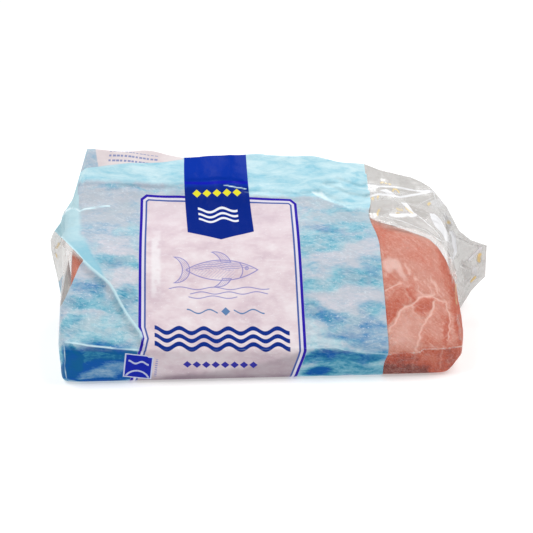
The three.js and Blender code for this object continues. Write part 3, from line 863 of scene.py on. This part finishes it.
lilac = shade.ramp((0.0, (216, 212, 220)), (0.25, (191, 199, 211)), (0.5, (148, 180, 203)),
                   (0.75, (84, 140, 188)), (1.0, (0, 86, 170)))
teal = shade.ramp((0.0, (208, 226, 233)), (0.25, (178, 211, 221)), (0.5, (130, 187, 205)),
                  (0.75, (62, 144, 176)), (1.0, (0, 96, 152)))
greened = attribute("green") + (wobble - 0.5) * 1.2
water = greened.over(0.5, 0.7).mixed(lilac, teal)
mist = noise(0.018, 0.010, 11.0, 4.0, 0.65)
veil = mist.over(0.52, 0.2) * 0.4 * v.over(0, 6)
veil = veil + v.over(106, 14) * v.under(140, 6) * mist.over(0.4, 0.3) * 0.45
water = veil.least(0.7).mixed(water, srgb(186, 193, 201))
flecks = spray.over(0.62, 0.12) * patches.over(0.46, 0.12) * v.over(2, 4)
scratches = noise(0.012, 0.0018, 13.0, 3.0, 0.6, 0.2, turn=-0.5)
flecks = flecks.most(scratches.over(0.6, 0.14) * mist.over(0.46, 0.2) * 0.5 * v.over(0, 6))
water = (flecks * 0.5).mixed(water, srgb(222, 235, 243))
fin_tone = (strokes * 0.7 + bristles * 0.3).ramp((0.38, (148, 204, 222)), (0.5, (183, 221, 232)),
                                                  (0.62, (205, 233, 240)))
fin_low = 137.5 + u.under(-62, 3) * 11 - (u - 43).most(0).least(24) * 0.5
back_low = 160 + (u + 140) * 0.152
behind = (v - back_low).over(0, 0.6) * u.under(BACK_EDGE, 0.6)
fin_mask = (v - fin_low + (wobble - 0.5) * 6).over(0, 5) * (1 - behind)
# Painted shade: a soft grey-blue line where the fin folds back from the body
fin_foot_shade = abs(v - fin_low + 2.5).under(1.5, 4) * mist.over(0.42, 0.2) * u.under(30, 30) * 0.5
water = fin_foot_shade.mixed(water, srgb(132, 158, 176))
colour = fin_mask.mixed(water, fin_tone)
flap = attribute("flap").over(-0.5, 5) * attribute("fold").over(0.0, 0.5)
flap_tone = (attribute("depth") + (strokes - 0.5) * 0.5 + (speckle - 0.5) * 0.3).ramp(
    (0.05, (188, 219, 227)), (0.3, (172, 209, 221)), (0.6, (146, 198, 215)))
colour = flap.mixed(colour, flap_tone)
back_panel = behind * (u + (v - 160) * 0.3).over(-134, 1)
colour = back_panel.mixed(colour, patches.ramp((0.4, (220, 208, 210)), (0.6, (230, 221, 222))))
dashes = (((u / 3.1).part() - 0.5) + (u / 1.7).wave() * 0.12).under(0.22, 0.1)
bars = (v - BARS_V).stripe(4.2).under(0.2, 0.1) * abs(u + 107).under(20, 1)
bars = bars * (v - BARS_V).over(0, 0.2) * v.under(174.5, 0.2)
colour = (bars * dashes * back_panel * 0.75).mixed(colour, srgb(92, 116, 178))

kink = (1 - abs(v - 8) / 9).most(0) * u.under(-60, 10) * 2.4
border_u = u - kink + (v * -0.28).most(0)
off_u = abs(border_u - PANEL_U) - PANEL_HALF_U
off_v = abs(v - PANEL_V - (u - PANEL_U) * -0.035) - PANEL_HALF_V
panel = off_u.most(off_v).most((off_u + off_v + 4.5) * 0.7071)
pink = patches.ramp((0.36, (214, 194, 203)), (0.5, (227, 210, 216)), (0.66, (236, 225, 229)))
pink = (spray.over(0.66, 0.12) * strokes.over(0.48, 0.1) * 0.7).mixed(pink, srgb(248, 245, 247))
pink = (bristles.over(0.6, 0.2) * 0.35).mixed(pink, srgb(242, 236, 240))
pink = (v.over(100, 70) * 0.35).mixed(pink, srgb(210, 196, 205))
# Painted highlight: a pale glare strip down the panel
glare = abs(u + 86).under(3.4, 3) * abs(v - 70).under(27, 22) * wobble.over(0.42, 0.2)
pink = (glare * 0.65).mixed(pink, srgb(243, 240, 243))
# Painted shade: the panel darkens under the lip, below a slanting line, and most at the foot
lip_shade_edge = v + 15 - (u + 23).least(0) * 0.16 - (u + 23).most(0) * 0.33 + (wobble - 0.5) * 5
lip_shade = v.under(-1, 4) * 0.14 + lip_shade_edge.under(0, 6) * v.under(0, 3) * 0.3 + v.under(-22, 6) * 0.2
pink = lip_shade.mixed(pink, srgb(80, 62, 84))
colour = panel.under(0, 0.5).mixed(colour, srgb(222, 218, 232))
colour = panel.under(-4.2, 0.5).mixed(colour, pink)
colour = abs(panel + 1.2).under(1.1, 0.4).mixed(colour, srgb(44, 28, 166))
colour = abs(panel + 4.9).under(0.7, 0.4).mixed(colour, srgb(74, 96, 164))

# A line-drawn fish over water lines
FISH_U, FISH_V, FISH_SCALE = -36, 65, 0.82
fish = fish_u, fish_v = (u - FISH_U) * FISH_SCALE, (v - FISH_V) * FISH_SCALE
body = circle(fish, 0, 32, 39).most(circle(fish, 0, -32, 39))
tail = crescent(fish, (-29, 0, 9), (-35, 0, 10.5))
fin = crescent(fish, (-4, 3, 10), (-11, 3, 11)).most(5.6 - fish_v)
belly = crescent(fish, (-3, -2, 9.5), (-9.5, -2, 10.5)).most(fish_v + 5.8)
gill = abs(circle(fish, 5, 0, 8)).most(6 - fish_u).most(body + 0.5)
eye = circle(fish, 15.5, 1.2, 0)
hatching = (fish_v + fish_u * 0.1 + (fish_u / 2.3).wave() * 0.25).stripe(1.25).under(0.22, 0.15)
hatching *= body.under(-0.6, 0.4) * (fish_v + (fish_u / 3).wave() * 0.8).over(0.6, 0.5) * 0.8
scales = (fish_u * 0.9 + abs(fish_v) * 0.9).stripe(1.9).under(0.14, 0.1)
scales *= body.under(-1.0, 0.4) * fish_u.under(8, 3) * 0.35
rays = (fish_u - fish_v * 0.7).stripe(1.1).under(0.2, 0.1)
rays *= tail.least(fin).least(belly).under(0, 0.2) * 0.6
ink = abs(body).under(0.34, 0.3).most(eye.under(0.4, 0.2)).most(hatching).most(scales).most(rays)
for outline in (tail, fin, belly, gill, eye - 1.0):
    ink = ink.most(abs(outline).under(0.3, 0.3))
for rise, pace, reach, centre in ((-12.5, 3.3, 31, -2), (-15.6, 2.7, 24, 4), (-18.4, 3.0, 15, -6)):
    swash = abs(fish_v - rise + (fish_u / pace + rise).wave() * 0.8).under(0.32, 0.3)
    ink = ink.most(swash * abs(fish_u - centre).under(reach, 1))
colour = (ink * 0.72).mixed(colour, srgb(96, 100, 186))

# Ornaments: a rule with a lozenge, a bold triple wave, a row of lozenges
RULE_U, RULE_V, WAVE_V, BEADS_U, BEADS_V = -34, 31, 9.4, -39, -12.0
rule = abs(v - RULE_V - ((u - RULE_U) / 2.6).wave() * 1.6).under(0.55, 0.3)
rule *= abs(abs(u - RULE_U) - 17.5).under(11.5, 0.5)
gem = (abs(u - RULE_U) + abs(v - RULE_V)).under(3.4, 0.4)
colour = rule.most(gem).mixed(colour, srgb(96, 130, 176))
swell = v - WAVE_V - ((u - PANEL_U) / 2.9).wave() * 2.0
band = triple_wave(swell, 6.2, 1.7) * abs(u - PANEL_U).under(50, 0.6)
colour = band.mixed(colour, srgb(16, 48, 136))
beads = ((u - BEADS_U).stripe(7.0) * 7.0 + abs(v - BEADS_V)).under(3.2, 0.5)
colour = (beads * abs(u - BEADS_U).under(28, 0.3)).mixed(colour, srgb(52, 50, 160))

# The pennant with yellow lozenges and white waves, and the small blue label
PENNANT_U, PENNANT_HALF_U, PENNANT_V = -35.8, 25.7, 92.5
LOZENGES_V, RIPPLES_V, LABEL_U, LABEL_V = 140, 119.5, -99.9, -14.9
pennant_u = u - PENNANT_U + (v - 98).most(0) * 0.058
pennant = (abs(pennant_u) - PENNANT_HALF_U).most(PENNANT_V - v + abs(pennant_u) * 0.3)
blue = (v + (wobble - 0.5) * 5).over(146, 6).mixed(srgb(0, 36, 132), srgb(2, 50, 166))
blue = (abs(v - 149.5) + (wobble - 0.5) * 1.5).under(1.2, 1.4).mixed(blue, srgb(12, 26, 176))
colour = pennant.under(0, 0.4).mixed(colour, blue)
lozenges = ((pennant_u + 20).stripe(8.0) * 8.0 + abs(v - LOZENGES_V)).under(3.5, 0.4)
colour = (lozenges * abs(pennant_u).under(20, 0.3)).mixed(colour, srgb(232, 224, 52))
ripples = triple_wave(v - RIPPLES_V - ((pennant_u + 2) / 3.1).wave() * 1.9, 5.2, 1.1)
colour = (ripples * abs(pennant_u + 0.5).under(15.5, 0.5)).mixed(colour, srgb(236, 238, 244))
label_u = u - LABEL_U - (v + 15) * 0.14
label_v = v - LABEL_V + (u + 100) * 0.12
label = (abs(label_u) - 10.6).most(abs(label_v) - 11.0)
colour = label.under(0, 0.4).mixed(colour, srgb(206, 212, 236))
colour = label.under(-1.0, 0.4).mixed(colour, srgb(14, 34, 172))
mark = abs(label_v - 3.4 - (label_u / 1.6).wave() * 1.1).under(0.8, 0.4) * abs(label_u).under(7.6, 0.4)
mark = mark.most(abs(circle((label_u, label_v), 0, -13, 9)).under(0.7, 0.4) * label.under(-1.4, 0.3))
colour = (mark * 0.8).mixed(colour, srgb(214, 220, 242))
ticks = abs(label_u - 13.2).under(0.9, 0.3) * label_v.stripe(2.1).under(0.28, 0.1)
ticks *= abs(label_v - 1).under(8.4, 0.2)
colour = (ticks * 0.6).mixed(colour, srgb(84, 104, 190))

# Painted highlight in white-blue along the crests of the creases and on the gleams, with stress whitening
# along the creases, and along the edge of the folded flap
crease = (attribute("crest") * (0.3 + wobble * 0.9)).over(0.45, 0.5)
edge = abs(attribute("fold") - 0.2).under(0.85, 1.2) * v.over(8, 4)
glint = (attribute("crest") * (0.5 + wobble)).over(0.9, 0.5)
glint = glint.mixed(srgb(206, 237, 245), srgb(242, 249, 252))
colour = crease.most(edge * 0.9).mixed(colour, glint)
crinkle = noise(0.006, 0.006, 9.0, 4.0, 0.55, 0.4)
height = crinkle + spray * 0.2
bump = node("ShaderNodeBump", {"Height": height, "Strength": 0.4, "Distance": 0.0008})
feed(Base_Color=colour, Roughness=0.24 + crinkle * 0.2, Normal=bump, Specular_IOR_Level=0.08)
printed_film.data.materials.append(paper)
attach(printed_film, "root")
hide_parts("film_bag")

# The clear film: the same bag without print, hazy where it stands loose and almost
# unseen where it clings to the loin, with white along its sharp creases that is stress
# whitening and painted highlight, painted white highlights on the facets of its crumple,
# painted shade and double film as denser grey, and painted warm glints.
flesh_surface = BVHTree.FromPolygons([v.co for v in tuna_loin.data.vertices],
                                     [p.vertices for p in tuna_loin.data.polygons])
clings = clear_film.data.attributes.new("cling", "FLOAT", "POINT")
for vertex, cling in zip(clear_film.data.vertices, clings.data):
    gap = (flesh_surface.find_nearest(vertex.co)[0] - vertex.co).length / MM
    height = vertex.co.z / MM - 9 * (vertex.co.x > 0) * ease(12, 7, gap)
    cling.value = float(max(ease(4.5, 2.0, gap), ease(9, 5, height)))
glassy = new_material("clear_crumpled_film")
streaks = noise(0.030, 0.005, 2.0, 4.0, 0.6, 1.2)
crinkle = noise(0.007, 0.007, 1.0, 4.0, 0.6, 0.6)
flakes = noise(0.0035, 0.0022, 6.0, 3.0, 0.6, 0.8)
apart = 1 - attribute("cling")
right_end = film_axis(0).over(0, 10)
crumple = right_end * 0.5 + 0.5
# Painted highlights: the white planes and crease crests, broken up by noise, as white haze
white = (attribute("white") * (0.2 + crinkle * 0.7 + flakes)).over(0.42, 0.7)
white = (white * flakes.over(0.4, 0.5).most(apart)).most(streaks.over(0.68, 0.1) * 0.3) * crumple
# Painted reflections: warm yellow glints
gold = attribute("gold") * (0.4 + crinkle)
# Denser grey: painted shade and double film from the planes, streaky haze, more haze at the left end
dense_and_shaded = attribute("grey") * 0.34 + ((streaks - 0.5) * 0.2 + (crinkle - 0.5) * 0.2)
dense_and_shaded = dense_and_shaded + (1 - right_end) * 0.1
haze = right_end.mixed(srgb(222, 220, 217), srgb(174, 170, 165))
haze = apart.over(0.75, 0.5).mixed(srgb(238, 222, 214), haze)
haze = white.mixed(haze, apart.mixed(srgb(255, 236, 228), srgb(250, 251, 254)))
haze = gold.least(1.0).mixed(haze, srgb(250, 218, 140))
see = 0.04 + apart * (0.35 + dense_and_shaded).most(0.06) + white * (0.4 + apart * 0.2) + gold * 0.5
height = (crinkle + streaks * 0.6) * crumple
bump = node("ShaderNodeBump", {"Height": height, "Strength": 0.22, "Distance": 0.0009})
feed(Base_Color=haze, Alpha=see.least(0.84), Normal=bump, Roughness=0.14, IOR=1.55)
clear_film.data.materials.clear()
clear_film.data.materials.append(glassy)
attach(clear_film, "root")
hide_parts("film_bag")

# The floor: a plain white light table, faintly lit from below, that is not part of the object.
bpy.ops.object.select_all(action="DESELECT")
bpy.ops.mesh.primitive_plane_add(size=6.0, location=(0, 0, -0.0005))
floor = bpy.context.object
floor.name = "floor"
pale = new_material("pale_floor")
feed(Base_Color=(0.8, 0.8, 0.8, 1), Roughness=0.9, Emission_Color=(1, 1, 1, 1),
     Emission_Strength=0.36)
floor.data.materials.append(pale)

# Light: an even white surround, a broad soft lamp overhead and a small hard one from behind
# that picks out the creases of the film.
world = bpy.data.worlds.new("surround")
world.use_nodes = True
world.node_tree.nodes["Background"].inputs["Color"].default_value = (1, 1, 1, 1)
world.node_tree.nodes["Background"].inputs["Strength"].default_value = 0.4
bpy.context.scene.world = world
LAMPS = [("soft_left", (-0.8, -0.05, 1.35), 0.75, 10.0), ("soft_right", (0.75, 0.0, 1.35), 0.75, 9.5),
         ("hard_back", (0.35, 0.9, 1.2), 0.06, 1.6)]
for name, place, size, power in LAMPS:
    bpy.ops.object.light_add(type="AREA", location=place)
    lamp = bpy.context.object
    lamp.name = name
    lamp.data.size = size
    lamp.data.energy = power
    lamp.rotation_euler = (Vector((0, 0, 0.05)) - Vector(place)).to_track_quat("-Z", "Y").to_euler()

# Camera: slightly left of square on, thirty degrees above the table.
AZIMUTH, ELEVATION, REACH, LENS = math.radians(-3.0), math.radians(30.0), 0.9, 75.98
target = Vector((shift + np.array([0.0, 86.0, 46.0])) * MM)
back = Vector((math.sin(AZIMUTH) * math.cos(ELEVATION), -math.cos(AZIMUTH) * math.cos(ELEVATION),
               math.sin(ELEVATION)))
bpy.ops.object.camera_add(location=target + back * REACH)
camera = bpy.context.object
camera.data.lens = LENS
camera.rotation_euler = (-back).to_track_quat("-Z", "Y").to_euler()
bpy.context.scene.camera = camera
bpy.context.scene.view_settings.view_transform = "Standard"
